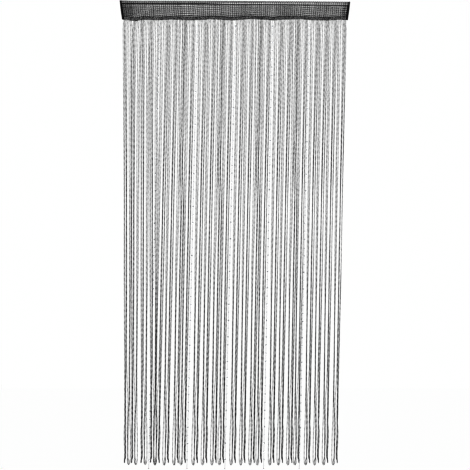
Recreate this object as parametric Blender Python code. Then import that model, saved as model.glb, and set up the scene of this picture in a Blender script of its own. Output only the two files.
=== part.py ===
"""String door curtain: a mesh heading with a rod pocket, 96 looped strings and five bead strings.

Metres, +Z up. The front faces -Y. The origin is the middle of the heading's top edge.
"""

import itertools
import math

import bmesh
import bpy
import numpy as np

MM = 0.001

# Overall size
WIDTH_TOP = 985 * MM
WIDTH_LOW = 965 * MM  # the heading draws in a little at its lower edge
LENGTH = 2000 * MM
TOP_FALL = 3.8 * MM  # the top edge hangs this much lower at its right end
TAPER_HEIGHT = 79 * MM  # the height over which the heading draws in
GAP = 0.3 * MM

# The lower edge of the whole heading, as it sags between the bead strings
HEM_LINE = np.array(
    [
        # x, height (mm)
        (-493, -78),
        (-466, -80),
        (-445, -84),
        (-430, -85),
        (-405, -79),
        (-329, -81),
        (-278, -78),
        (-209, -81),
        (-167, -81),
        (-107, -77),
        (-56, -79.5),
        (-4, -82),
        (64, -76),
        (110, -78),
        (145, -79.5),
        (165, -82.5),
        (190, -79),
        (286, -76.5),
        (325, -80.5),
        (398, -82),
        (457, -79),
        (493, -81),
    ]
) * MM

# The heading's section, from its folded top edge down to its cloth edge
STRIP_HEIGHT = 12 * MM
SECTION = (
    # share of the height, half of the outer depth, half of the hollow inside (mm)
    (0.00, 1.0, None),
    (0.03, 1.3, None),
    (0.17, 1.3, None),
    (0.215, 1.3, 0.0),
    (0.35, 6.1, 4.9),
    (0.56, 7.2, 6.0),
    (0.77, 6.1, 4.9),
    (0.90, 1.4, 0.0),
    (1.00, 1.3, None),
)
HEADING_STEPS = 40
HEADING_WAVES = (
    # how far the cloth sways in depth, half waves in half of the width, start
    (0.7 * MM, 3.0, 0.4),
    (0.4 * MM, 7.0, 2.0),
)

# Strings: three-sided, as wide as deep
STRING_HALF = 0.7 * MM
LEGS = (
    # loop, side, depth (mm)
    (0, 0, -8.5),
    (0, 1, -6.5),
    (1, 0, -3.6),
    (1, 1, 3.6),
    (2, 0, -1.9),
    (2, 1, 1.9),
    (3, 0, -4.6),
    (3, 1, 4.6),
)
STATIONS = (
    # height, and the places of the legs across a group (mm); the first is at the strip
    (-80, (4.3, 19.7, 9.2, 14.1, 25.2, 29.5, 32.8, 36.8)),
    (-250, (4.3, 23.9, 7.7, 15.0, 28.2, 31.6, 33.9, 38.9)),
    (-680, (4.3, 24.0, 7.3, 13.3, 25.7, 27.4, 33.8, 35.5)),
    (-1130, (5.1, 22.7, 8.6, 11.5, 23.9, 26.5, 32.5, 33.6)),
    (-1530, (8.8, 22.0, 9.7, 10.6, 23.7, 26.0, 28.3, 30.5)),
    (-1701, (8.6, 16.2, 10.0, 11.6, 26.5, 27.1, 27.8, 28.6)),
    (-1870, (5.1, 16.7, 15.0, 15.8, 26.5, 27.1, 27.8, 28.4)),
)
CLOSE_STATIONS = (
    # the same, where the next group hangs close by
    (-80, (5.1, 19.2, 9.4, 15.4, 23.9, 27.4, 29.9, 33.4)),
    (-250, (5.6, 20.1, 8.2, 17.1, 24.4, 26.2, 29.1, 32.1)),
    (-680, (6.2, 20.5, 13.2, 15.8, 17.4, 25.6, 26.8, 28.0)),
)
LOOP_ENDS = (
    # x of the bend's middle, half of its width across, start of the bend, lowest point (mm)
    (11.9, 6.2, -1962, -1982),
    (12.6, 2.0, -1966, -1980),
    (28.5, 0.4, -1963, -1972),
    (30.1, 0.4, -1965, -1974),
)
BEND_STEPS = 3

# Groups of four loops. Turn is -1 where a group is turned about, front to back.
GROUPS = (
    # x at the strip, x at the foot, bow to the right, depth (mm), turn
    (-439, -443, 1.5, 0, -1),
    (-395.5, -413, -5.2, 0, -1),
    (-360, -372, -2.2, 0, -1),
    (-323, -332, -3.0, 10.5, -1),
    (-321, -354, 1.0, 0, 1),
    (-282, -315, 0, 0, 1),
    (-242, -273, 0, 0, 1),
    (-209, -243, 0, 0, 1),
    (-158, -191, 0, 0, 1),
    (-119, -151, 0, 0, 1),
    (-79, -111, 0, 0, 1),
    (-47, -79, 0, 0, 1),
    (3, -29, 1.0, 0, 1),
    (42, 12, 0, 0, 1),
    (82, 52, 1.0, 0, 1),
    (115, 83, 0, 0, 1),
    (165, 136, 0, 0, 1),
    (204, 173, -0.3, 0, 1),
    (240, 213, 1.5, 0, 1),
    (273, 243, 0, 0, 1),
    (322, 289, -2.0, 0, 1),
    (361, 327, -3.0, 0, 1),
    (397, 366, -1.0, 0, 1),
    (436, 407, 0.5, 0, 1),
)
CLOSE_GROUPS = (-242, -79, 82, 240)  # x at the strip of those whose neighbour hangs close by
BOW_POWER = 0.55  # below 1, the bow is broadest above the middle

# Bead strings: x at the strip, x at the foot, and how much lower the beads hang on it (mm)
BEAD_STRINGS = (
    (-322.5, -369, 1.3),
    (-160.5, -206, 0),
    (2.5, -43.5, -1.7),
    (161, 122, -1.9),
    (318, 275, 2.8),
)
THREAD_RADIUS = 0.5 * MM
BEAD_RADIUS = 3.0 * MM
END_BEAD_RADIUS = 2.1 * MM
BEAD_SIDES = 4
BEAD_PITCH = 69.9 * MM
FIRST_BEAD = -108.5 * MM
BEAD_COUNT = 28
CLOSE_BEAD = 20  # this bead follows the one above it at half the pitch


def reset_scene():
    """Leave nothing of the start-up scene behind."""
    for old in list(bpy.data.objects):
        bpy.data.objects.remove(old, do_unlink=True)


def material(name, colour, roughness, transmission=0.0):
    """A Principled material with the piece's own colour."""
    made = bpy.data.materials.new(name)
    made.use_nodes = True
    shader = made.node_tree.nodes["Principled BSDF"]
    shader.inputs["Base Color"].default_value = (*colour, 1)
    shader.inputs["Roughness"].default_value = roughness
    shader.inputs["Transmission Weight"].default_value = transmission
    made.diffuse_color = (*colour, 1)
    return made


def add_object(name, bm, finish):
    """Close a bmesh with its faces pointing out, and put it in the scene."""
    bmesh.ops.recalc_face_normals(bm, faces=bm.faces)
    mesh = bpy.data.meshes.new(name)
    bm.to_mesh(mesh)
    bm.free()
    mesh.materials.append(finish)
    made = bpy.data.objects.new(name, mesh)
    bpy.context.collection.objects.link(made)
    return made


def half_width(z):
    """Half of the heading's width at a height."""
    share = min(1.0, max(0.0, -z / TAPER_HEIGHT))
    return (WIDTH_TOP + (WIDTH_LOW - WIDTH_TOP) * share) / 2


def hem_height(x):
    """Height of the strip's lower edge."""
    return float(np.interp(x, HEM_LINE[:, 0], HEM_LINE[:, 1]))


def cloth_edge(x):
    """Height of the heading's own lower edge, just above the strip."""
    return hem_height(x) + STRIP_HEIGHT


def bridge(bm, one, other):
    """Quads between two rings of the same count."""
    for i in range(len(one)):
        j = (i + 1) % len(one)
        bm.faces.new((one[i], one[j], other[j], other[i]))


def heading_section(bm, across):
    """One upright section of the heading: outer front, outer back, and the hollow's two sides."""
    front, back, hollow_front, hollow_back = [], [], [], []
    low = cloth_edge(across * half_width(0))
    top = -TOP_FALL / 2 * across
    sway = sum(
        size * math.sin(math.pi * waves * across + start) for size, waves, start in HEADING_WAVES
    )
    for share, outer, hollow in SECTION:
        z = top + (low - top) * share
        x = across * half_width(z)
        y = sway * math.sin(math.pi * share)
        front.append(bm.verts.new((x, y - outer * MM, z)))
        back.append(bm.verts.new((x, y + outer * MM, z)))
        if hollow == 0.0:
            seam = bm.verts.new((x, y, z))
            hollow_front.append(seam)
            hollow_back.append(seam)
        elif hollow:
            hollow_front.append(bm.verts.new((x, y - hollow * MM, z)))
            hollow_back.append(bm.verts.new((x, y + hollow * MM, z)))
    return front, back, hollow_front, hollow_back


def cap_section(bm, section):
    """The end of the heading: solid above and below the pocket, two thin walls beside it."""
    front, back, hollow_front, hollow_back = section
    first = next(i for i, row in enumerate(SECTION) if row[2] is not None)
    last = first + len(hollow_front) - 1
    for i in range(len(front) - 1):
        if first <= i < last:
            k = i - first
            bm.faces.new((front[i], front[i + 1], hollow_front[k + 1], hollow_front[k]))
            bm.faces.new((back[i], hollow_back[k], hollow_back[k + 1], back[i + 1]))
        else:
            corners = [front[i], front[i + 1], back[i + 1], back[i]]
            if i + 1 == first:
                corners.insert(2, hollow_front[0])
            if i == last:
                corners.append(hollow_front[-1])
            bm.faces.new(corners)


def build_heading(finish):
    """The heading tape: folded over at the top and sewn to itself, with a pocket open at both ends."""
    bm = bmesh.new()
    sections = [
        heading_section(bm, 2 * step / HEADING_STEPS - 1) for step in range(HEADING_STEPS + 1)
    ]
    for near, far in zip(sections, sections[1:]):
        bridge(bm, near[0] + near[1][::-1], far[0] + far[1][::-1])
        bridge(bm, near[2] + near[3][-2:0:-1], far[2] + far[3][-2:0:-1])
    cap_section(bm, sections[0])
    cap_section(bm, sections[-1])
    return add_object("heading", bm, finish)


def group_x(group, z, across):
    """World x of a place across a group at a height; groups lean evenly from strip to foot, and bow."""
    top, foot, bow, _, turn = group
    share = max(0.0, (-z - TAPER_HEIGHT) / (LENGTH - TAPER_HEIGHT))
    bowed = bow * math.sin(math.pi * share**BOW_POWER)
    return (top + (foot - top) * share + bowed + turn * across) * MM


def stations_of(group):
    """The stations that a group's legs pass: a group with a close neighbour has its own upper ones."""
    if group[0] in CLOSE_GROUPS:
        return CLOSE_STATIONS + STATIONS[len(CLOSE_STATIONS) :]
    return STATIONS


def corners_of(paired_front):
    """A string's three corners as offsets, with two of them in front or two behind."""
    side = 1 if paired_front else -1
    return np.array(
        (
            (-STRING_HALF, -side * STRING_HALF, 0),
            (STRING_HALF, -side * STRING_HALF, 0),
            (0, side * STRING_HALF, 0),
        )
    )


def add_ring(bm, points):
    """New vertices at the corners of a ring."""
    return [bm.verts.new(p) for p in points]


def loop_route(group, loop):
    """Centres of a loop's two legs, strip first, the two ends of its bend and its lowest height."""
    *_, behind, turn = group
    legs, depths = [], []
    for number, (its_loop, _, depth) in enumerate(LEGS):
        if its_loop == loop:
            depths.append((behind + turn * depth) * MM)
            legs.append(
                [
                    np.array((group_x(group, height * MM, places[number]), depths[-1], height * MM))
                    for height, places in stations_of(group)[1:]
                ]
            )
    middle, half, start, low = LOOP_ENDS[loop]
    ends = [
        np.array((group_x(group, start * MM, middle + sign * half), depth, start * MM))
        for sign, depth in zip((-1, 1), depths)
    ]
    return legs, ends, low * MM


def root_x(group, leg):
    """Where a leg leaves the strip."""
    top, *_, turn = group
    _, places = stations_of(group)[0]
    return (top + turn * places[leg]) * MM


def bend_rings(ends, low, corners):
    """Centres and corners round the bend: half an ellipse from one leg's end to the other's."""
    start, finish = ends
    reach = finish - start
    half = np.linalg.norm(reach) / 2
    along = reach / (2 * half)
    normal = np.array((-along[1], along[0], 0))
    up = np.array((0, 0, 1.0))
    drop = start[2] - low
    middle = (start + finish) / 2
    rings = []
    for step in range(BEND_STEPS + 1):
        angle = math.pi * step / BEND_STEPS
        centre = middle - along * half * math.cos(angle) - up * drop * math.sin(angle)
        inward = along * drop * math.cos(angle) + up * half * math.sin(angle)
        inward /= np.linalg.norm(inward)
        rings.append((centre, [centre + inward * (c @ along) + normal * (c @ normal) for c in corners]))
    return rings


def least_twist(points, others):
    """The order in which three other corners join to three corners with the least twist."""
    return min(
        itertools.permutations(range(3)),
        key=lambda order: sum(np.linalg.norm(points[i] - others[order[i]]) for i in range(3)),
    )


def faces_on(ends):
    """Whether a loop is seen face on, so that both of its roots have their pair of corners in front."""
    reach = np.abs(ends[1] - ends[0])
    return bool(reach[0] > reach[1])


def hang_loop(bm, group, loop, roots):
    """One string: down from its first root, round its bend and up into its second root."""
    legs, ends, low = loop_route(group, loop)
    corners = corners_of(True)
    ring = roots[0]
    for centre in legs[0]:
        lower = add_ring(bm, centre + corners)
        bridge(bm, ring, lower)
        ring = lower
    bend = bend_rings(ends, low, corners)
    for _, points in bend:
        lower = add_ring(bm, points)
        bridge(bm, ring, lower)
        ring = lower
    last_centre, last_points = bend[-1]
    corners = corners_of(faces_on(ends))
    order = list(least_twist([p - last_centre for p in last_points], corners))
    for centre in legs[1][::-1]:
        upper = add_ring(bm, centre + corners[order])
        bridge(bm, ring, upper)
        ring = upper
    bridge(bm, ring, [roots[1][i] for i in order])


def root_list():
    """Every root from left to right: x, group, loop, side, and whether its pair of corners is in front."""
    roots = []
    for group in GROUPS:
        for number, (loop, side, _) in enumerate(LEGS):
            face_on = faces_on(loop_route(group, loop)[1])
            roots.append((root_x(group, number), group, loop, side, side == 0 or face_on))
    return sorted(roots, key=lambda root: root[0])


def strip_corners(bm, x, z):
    """A front and a back corner of the strip."""
    return [bm.verts.new((x, y, z)) for y in (-STRING_HALF, STRING_HALF)]


def build_strip(bm):
    """The strip along the heading's foot, closed but for its roots, and the corners of each root."""
    ends = [strip_corners(bm, x, hem_height(x)) for x in (-WIDTH_LOW / 2, WIDTH_LOW / 2)]
    front, back, roots = [[ends[0][0]]], [[ends[0][1]]], {}
    for x, group, loop, side, pair_in_front in root_list():
        verts = add_ring(bm, np.array((x, 0, hem_height(x))) + corners_of(pair_in_front))
        roots[group, loop, side] = verts
        (front if pair_in_front else back).append(verts[:2])
        (back if pair_in_front else front).append(verts[2:])
    front.append([ends[1][0]])
    back.append([ends[1][1]])
    for i in range(len(front) - 1):
        bm.faces.new((front[i][-1], front[i + 1][0], back[i + 1][0], back[i][-1]))

    tops = []
    for across in np.linspace(-1, 1, HEADING_STEPS + 1):
        z = cloth_edge(across * half_width(0)) - GAP
        tops.append(strip_corners(bm, across * half_width(z), z))
    for near, far in zip(tops, tops[1:]):
        bm.faces.new((near[0], far[0], far[1], near[1]))
    for face, rows in ((0, front), (1, back)):
        edge = [v for row in rows for v in row]
        splits = [
            min(range(len(edge)), key=lambda i: abs(edge[i].co.x - top[face].co.x)) for top in tops
        ]
        splits[0], splits[-1] = 0, len(edge) - 1
        for k, (near, far) in enumerate(zip(tops, tops[1:])):
            bm.faces.new((near[face], *edge[splits[k] : splits[k + 1] + 1], far[face]))
    for top, low in ((tops[0], ends[0]), (tops[-1], ends[1])):
        bm.faces.new((top[0], top[1], low[1], low[0]))
    return roots


def build_fringe(finish):
    """The strip and the looped strings that are one body with it."""
    bm = bmesh.new()
    roots = build_strip(bm)
    for group in GROUPS:
        for loop in range(len(LOOP_ENDS)):
            hang_loop(bm, group, loop, [roots[group, loop, side] for side in (0, 1)])
    return add_object("fringe", bm, finish)


def bead_height(number, lower):
    """Height of the middle of a string's bead, counted from the top."""
    steps = number - (0.5 if number >= CLOSE_BEAD else 0)
    return FIRST_BEAD - lower * MM - BEAD_PITCH * steps


def build_bead_string(number, top, foot, lower, finish):
    """A thread with faceted beads, hung just under the strip; its last bead is the curtain's lowest point."""
    start = hem_height(top * MM) - GAP
    profile = [(start, THREAD_RADIUS)]
    beads = [(bead_height(i, lower), BEAD_RADIUS) for i in range(BEAD_COUNT)]
    beads.append((-LENGTH + END_BEAD_RADIUS, END_BEAD_RADIUS))
    for middle, radius in beads:
        profile += [
            (middle + radius, THREAD_RADIUS),
            (middle, radius),
            (middle - radius, THREAD_RADIUS),
        ]
    bm = bmesh.new()
    rings = []
    for z, radius in profile:
        share = (start - z) / (start + LENGTH)
        x = (top + (foot - top) * share) * MM
        turns = [2 * math.pi * k / BEAD_SIDES for k in range(BEAD_SIDES)]
        rings.append(
            add_ring(bm, [(x + radius * math.cos(a), radius * math.sin(a), z) for a in turns])
        )
    for near, far in zip(rings, rings[1:]):
        bridge(bm, near, far)
    bm.faces.new(rings[0])
    bm.faces.new(rings[-1][::-1])
    return add_object(f"bead_string_{number}", bm, finish)


def main():
    reset_scene()
    black_mesh = material("black_polyester_mesh", (0.02, 0.02, 0.021), 0.8)
    black_yarn = material("black_polyester_yarn", (0.015, 0.015, 0.016), 0.75)
    clear_bead = material("clear_acrylic_bead", (0.62, 0.63, 0.65), 0.12, 0.6)
    build_heading(black_mesh)
    build_fringe(black_yarn)
    for number, (top, foot, lower) in enumerate(BEAD_STRINGS, 1):
        build_bead_string(number, top, foot, lower, clear_bead)


main()
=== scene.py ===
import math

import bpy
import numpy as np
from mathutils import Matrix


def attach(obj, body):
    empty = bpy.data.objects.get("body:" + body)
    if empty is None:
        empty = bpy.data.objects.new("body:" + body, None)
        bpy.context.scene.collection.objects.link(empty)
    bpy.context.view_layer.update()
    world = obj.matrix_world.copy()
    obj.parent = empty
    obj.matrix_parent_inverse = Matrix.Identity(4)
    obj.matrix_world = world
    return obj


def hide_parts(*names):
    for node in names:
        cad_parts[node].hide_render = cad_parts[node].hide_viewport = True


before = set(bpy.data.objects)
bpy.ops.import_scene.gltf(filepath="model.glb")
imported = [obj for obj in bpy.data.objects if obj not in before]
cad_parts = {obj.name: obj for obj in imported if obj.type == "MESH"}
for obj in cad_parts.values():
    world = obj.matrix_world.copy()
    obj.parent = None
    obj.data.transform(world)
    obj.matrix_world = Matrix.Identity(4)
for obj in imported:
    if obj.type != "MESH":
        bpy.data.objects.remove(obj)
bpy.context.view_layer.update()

# Looks of a string door curtain: a folded net heading with a rod pocket, a woven tape under it,
# 24 groups of four looped strings, and five nylon threads with faceted beads.
# Metres, +Z up, the front faces -Y, the origin is the middle of the heading's top edge.

MM = 0.001

# Heading: the frame's widths and lower edge. The top edge and the seam follow the photograph, which takes
# them up to 3 mm off the frame's.
WIDTH_TOP = 985 * MM
WIDTH_LOW = 965 * MM
LENGTH = 2000 * MM
TAPER_HEIGHT = 79 * MM
GAP = 0.3 * MM
TAPE_HEIGHT = 12 * MM
HEM_LINE = np.array(
    [
        # x, height of the tape's lower edge (mm)
        (-493, -78),
        (-466, -80),
        (-445, -84),
        (-430, -85),
        (-405, -79),
        (-329, -81),
        (-278, -78),
        (-209, -81),
        (-167, -81),
        (-107, -77),
        (-56, -79.5),
        (-4, -82),
        (64, -76),
        (110, -78),
        (145, -79.5),
        (165, -82.5),
        (190, -79),
        (286, -76.5),
        (325, -80.5),
        (398, -82),
        (457, -79),
        (493, -81),
    ]
) * MM
SEAM_LINE = np.array(
    [
        # x, heights of the top edge and of the upper and lower edge of the seam under it (mm)
        (-493, 2.9, -9.2, -12.8),
        (-440, 1.6, -9.6, -13.1),
        (-130, 0.7, -10.2, -13.7),
        (-26, 0.1, -13.4, -15.4),
        (210, -1.4, -14.3, -16.2),
        (278, -1.8, -15.1, -17.6),
        (493, -3.3, -16.5, -19.0),
    ]
) * MM
HEADING_WAVES = (
    # how far the cloth sways in depth, radians in half of the width, start
    (0.7 * MM, 3.0 * math.pi, 0.4),
    (0.4 * MM, 7.0 * math.pi, 2.0),
)

# Net: heights are shares of the heading's height, from the fold at 0 down to the tape at 1
NET_PITCH = 4.49 * MM  # from one pillar to the next; every second one is broader
NET_COLUMNS = round(WIDTH_TOP / NET_PITCH)
FOLD_ROW = 0.09  # a row of small holes along the fold ends here, and one of large ones follows
SEAM_FROM, SEAM_TO = 0.187, 0.213  # the seam under these rows, where the cloth is closed
NET_ROWS = 6  # rows of holes under the seam
BACK_LOWER = 0.3  # how much lower the back's rows lie, as a share of a row
BAR = 0.005  # half of the height of a bar between two rows
FOLD_BAR = 0.022  # the bar along the fold, on each wall
TAPE_SEAM = 0.033  # the closed cloth that is sewn to the tape
NET_HOLE = 0.82  # a hole's share of its cell's width
FOLD_HOLE = 0.6  # the same for the row along the fold
LAST_HOLES = (0.96, 0.88)  # how much of their width the holes of the two rows over the tape keep
DRAWN_HOLE = 0.78  # and those of the row over the seam at the left, where the seam is drawn up
DRAWN_FULLY, DRAWN_TO = 0.36, 0.46  # shares of the width, from the left, up to which it is drawn up
HOLE_SPREAD, COLUMN_SPREAD = (0.93, 1.01), (0.9, 1.02)  # how uneven single holes and columns are
# Columns from the left end and from the right one, and how much of their size their holes keep
LEFT_END = ((0, 1, 2, 9, 16), (0, 0.5, 0.84, 0.9, 1))
RIGHT_END = ((0, 1, 2, 8), (0.35, 0.55, 0.9, 1))
PILLAR_SHIFT = 0.15  # how far the holes stand off the broader pillars, in halves of a cell
HOLE_CORNER = 0.9  # how far a hole reaches into its corners: 1 is square, 0.71 is round
NET_THICK = 0.6 * MM
HEM_THICK = 1.8 * MM
HEM_COLUMNS = 1.01  # how many columns the hem takes in at each end, with its inner border
SCALLOP = 0.9 * MM  # how far the fold dips at the broader pillars
SCALLOP_TO = 0.03  # the dip dies out down to here
SHARP_ANGLE = math.radians(40)  # edges where the faces turn by more stay sharp

# How the net wanders. Each wave has a size, radians in half of the width, and a start
ROW_DRIFT = 0.8 * MM  # the rows, up and down
FRONT_ROWS = ((1.0, 11.0, 0.4), (0.6, 29.0, 2.0))
BACK_ROWS = ((0.9, 7.0, 2.6), (0.5, 19.0, 0.0))
DRIFT_IN, DRIFT_OUT = 0.06, 0.12  # it sets in over this share under the seam, and dies out over the tape
COLUMN_DRIFT = 1.3 * MM  # the columns of both walls, sideways
COLUMN_WAVES = ((1.0, 17.0, 1.0),)
STILL_END = 0.125  # it dies out over this share of half of the width at each end
BACK_STRETCH = 0.3 * MM  # the back's columns against the front's
STRETCH_WAVES = ((1.0, 9.0, 0.7), (0.7, 23.0, 0.0))
STRETCH_RIGHT = 0.6  # how much more that is towards the right end, and less towards the left one
STRETCH_OVER = 0.25  # it sets in from the fold down to here

# Pocket
WALL_DEPTH = 0.75 * MM  # from the heading's middle to a wall where the two are sewn together
FOLD_ROUND = 0.012  # the fold is rounded down to here
POCKET_DEPTH = 5.8 * MM  # how much further each wall stands out at the pocket
POCKET_FROM, POCKET_TO = 0.2, 0.9
POCKET_BLUNT = 0.75  # 1 is a sine arch, less is blunter
RIPPLE_DEPTH = 0.28 * MM
RIPPLES = ((1.0, 61 * MM, 1.1), (0.6, 23 * MM, 1.0))  # size, length, start (below zero on the front)

# Tape, stitches, picots and knots
TAPE_COLUMNS, TAPE_ROWS = 212, 3
TAPE_HOLE = 0.52  # a hole's share of its cell
TAPE_SPREAD = (0.75, 1.15)  # how uneven its holes are
TAPE_THICK = 1.2 * MM
RIB_DEPTH = 0.18 * MM
SEWN_SIDES = 6  # sides of a stitch, a picot or a knot
STITCH_PITCH = 4.2 * MM
STITCH_HALF = 1.75 * MM  # half of a stitch's length
STITCH_TIP = 0.97  # where its ends are cut, as a share of that half
STITCH_RADIUS = 0.32 * MM
STITCH_OUT = 0.5 * MM  # how far the stitches lie off the middle of the cloth
STITCH_ROWS = (SEAM_FROM + 0.002, SEAM_TO - 0.002, 0.985)  # shares of the height where the rows run
PICOT_RADIUS = 1.3 * MM
PICOT_DROP = 0.6 * MM  # how far a picot's middle lies under the fold
PICOT_SPREAD = (0.85, 1.12)  # how uneven their sizes are
KNOT_RADIUS = 1.5 * MM
KNOT_FORM = (0.95, 0.9, 1.35)  # how broad, deep and tall a knot is against a ball
KNOT_RISE = 0.2 * MM  # how far its middle lies over the tape's lower edge
KNOT_SPREAD = (0.85, 1.1)

# Strings: the frame's loops and groups, with more stations
LEGS = (
    # loop, side, depth (mm)
    (0, 0, -8.5),
    (0, 1, -6.5),
    (1, 0, -3.6),
    (1, 1, 3.6),
    (2, 0, -1.9),
    (2, 1, 1.9),
    (3, 0, -4.6),
    (3, 1, 4.6),
)
STATIONS = (
    # below the origin, and the places of the legs across a group (mm); the first is at the tape
    (80, (4.3, 19.7, 9.2, 14.1, 25.2, 29.5, 32.8, 36.8)),
    (123, (2.2, 22.7, 7.7, 15.4, 28.7, 32.5, 35.5, 39.5)),
    (250, (4.3, 23.9, 7.7, 15.0, 28.2, 31.6, 33.9, 38.9)),
    (465, (5.1, 24.6, 9.8, 14.1, 27.1, 29.5, 35.1, 37.2)),
    (680, (4.3, 24.0, 7.3, 13.3, 25.7, 27.4, 33.8, 35.5)),
    (910, (4.7, 24.0, 9.0, 11.6, 24.6, 25.9, 33.2, 34.0)),
    (1130, (5.1, 22.7, 8.6, 11.2, 23.9, 26.1, 32.5, 33.5)),
    (1320, (7.6, 22.9, 8.8, 10.0, 23.9, 25.1, 29.9, 32.3)),
    (1470, (7.9, 22.2, 9.1, 10.4, 23.9, 26.3, 29.1, 30.9)),
    (1560, (8.4, 21.5, 9.8, 11.1, 23.5, 25.7, 27.8, 30.2)),
    (1637, (8.4, 19.2, 9.8, 11.1, 24.8, 26.7, 28.1, 29.4)),
    (1701, (8.0, 16.2, 9.6, 11.6, 25.4, 26.7, 27.9, 29.2)),
    (1765, (7.7, 16.0, 12.6, 14.4, 24.9, 26.4, 27.9, 29.4)),
    (1800, (7.0, 19.0, 12.6, 15.6, 25.6, 26.4, 27.6, 28.4)),
    (1843, (5.6, 19.0, 14.2, 16.2, 26.0, 26.8, 28.6, 31.2)),
    (1887, (5.3, 17.2, 15.0, 16.1, 24.8, 26.4, 28.2, 30.8)),
    (1925, (5.1, 16.6, 15.4, 16.0, 24.0, 25.6, 27.2, 28.8)),
    (1948, (5.3, 16.2, 15.2, 15.8, 24.3, 25.9, 27.5, 29.1)),
)
CLOSE_STATIONS = (
    # the same, where the next group hangs close by
    (80, (5.1, 19.2, 9.4, 15.4, 23.9, 27.4, 29.9, 33.4)),
    (123, (5.1, 20.9, 10.3, 18.4, 25.7, 28.6, 30.6, 33.8)),
    (250, (5.6, 20.1, 8.2, 17.1, 24.4, 26.2, 29.1, 32.1)),
    (465, (6.0, 20.5, 11.5, 16.2, 24.6, 27.2, 28.2, 32.5)),
    (680, (6.2, 20.5, 13.2, 15.8, 17.4, 25.6, 26.8, 28.0)),
    (910, (6.2, 23.5, 11.1, 15.4, 25.2, 26.3, 33.4, 34.6)),
)
LOOP_ENDS = (
    # x of the bend's middle, half of its width across, start of the bend, lowest point (mm)
    (11.9, 6.2, -1962, -1982),
    (12.6, 2.0, -1966, -1980),
    (28.5, 0.4, -1963, -1972),
    (30.1, 0.4, -1965, -1974),
)
GROUPS = (
    # x at the tape, x at the foot, bow to the right, depth (mm), turn (-1 where a group is turned about)
    (-439, -443, 1.5, 0, -1),
    (-395.5, -413, -5.2, 0, -1),
    (-360, -372, -2.2, 0, -1),
    (-323, -332, -3.0, 10.5, -1),
    (-321, -354, 1.0, 0, 1),
    (-282, -315, 0, 0, 1),
    (-242, -273, 0, 0, 1),
    (-209, -243, 0, 0, 1),
    (-158, -191, 0, 0, 1),
    (-119, -151, 0, 0, 1),
    (-79, -111, 0, 0, 1),
    (-47, -79, 0, 0, 1),
    (3, -29, 1.0, 0, 1),
    (42, 12, 0, 0, 1),
    (82, 52, 1.0, 0, 1),
    (115, 83, 0, 0, 1),
    (165, 136, 0, 0, 1),
    (204, 173, -0.3, 0, 1),
    (240, 213, 1.5, 0, 1),
    (273, 243, 0, 0, 1),
    (322, 289, -2.0, 0, 1),
    (361, 327, -3.0, 0, 1),
    (397, 366, -1.0, 0, 1),
    (436, 407, 0.5, 0, 1),
)
CLOSE_GROUPS = (-242, -79, 82, 240)  # x at the tape of those whose neighbour hangs close by
BOW_POWER = 0.55  # below 1, the bow is broadest above the middle

# Yarn: a flat braid that turns about itself as it hangs
YARN_BROAD = 0.86 * MM  # half of its width
YARN_FLAT = 0.52 * MM  # half of its thickness
YARN_SIDES = 6
YARN_STEP = 7.0 * MM
HALF_TURN = 23 * MM
BEND_STEPS = 10
YARN_STITCH = 2.4 * MM  # length of one stitch of the braid
FOOT_FULLER = 0.13  # the braid opens towards its bend, where little weight pulls on it
FULLER_FROM, FULLER_TO = 1500 * MM, 1900 * MM  # how far down it starts, and is open
SWELL = 0.06  # how much its thickness varies
SWELL_PACES = (60, 90)  # radians in a metre, from string to string
TURN_SWAY = 0.12  # how much faster and slower it turns about itself in places
SWAY_PACES = (18, 30)
TURN_SPREAD = (0.92, 1.1)  # how uneven the half turns are from string to string
KINK, KINK_LENGTHS = 0.1 * MM, (0.055, 0.11)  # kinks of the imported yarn, and their lengths in metres
BEND, BEND_LENGTHS = 0.12 * MM, (0.2, 0.35)  # slower ones, across alone
STILL_TOP, STILL_FOOT = 30 * MM, 80 * MM  # lengths at the tape and at the bend over which they fade

# Bead strings, placed as in the frame: x at the tape, x at the foot, how much lower the beads hang on it (mm)
BEAD_STRINGS = (
    (-322.5, -369, 1.3),
    (-160.5, -206, 0),
    (2.5, -43.5, -1.7),
    (161, 122, -1.9),
    (318, 275, 2.8),
)
BEAD_PITCH = 69.9 * MM
FIRST_BEAD = -108.5 * MM
BEAD_COUNT = 28
CLOSE_BEAD = 20  # this large bead follows the one above it at half the pitch
LARGE_BEAD = 3.0 * MM  # half of its width
SMALL_BEAD = 2.1 * MM
LARGE_STRAY, SMALL_STRAY = 0.5, 1.2  # how far the beads stray up and down (mm)
BEAD_SPREAD = (0.96, 1.0)  # how uneven their sizes are
BEAD_TALL = 0.96  # a bead's height against its width
THREAD_RADIUS = 0.33 * MM
THREAD_SIDES, THREAD_RINGS = 6, 90
BEAD_SIDES = 8

# Finishes
DYE_PATCHES = 22.0  # in a metre, each 45 mm across
FUZZ_GRAINS = 900.0  # in a metre: 1.1 mm, ten times coarser than real fibres, so that they show
SCRATCHES = 1400.0  # in a metre: 0.7 mm apart, coarser than real ones for the same reason
TINT_CLOUDS = 160.0  # in a metre, each 6 mm across
LOOP_LENGTH, LOOP_SLANT = 1.3 * MM, 0.6  # the net's loops, and how steeply they lean
RIB_PITCH, WARP_PITCH = 1.1 * MM, 3 * MM  # the tape's ribs, down and across
PLY_TURN = 1.0 * MM  # the length in which the sewing thread's plies turn once
FUZZ_RELIEF = 0.35  # the fuzz's height against the loops'
LIT_SHARE_IN_PAINTED_SHADE = 0.12  # how much of the light colour is left in the hollows, under their painted shade
HOLLOW_DULLER = 0.12  # how much rougher the hollows are
CLOUD_DARK = 0.8  # the plastic's darkest tint against its lightest

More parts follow.
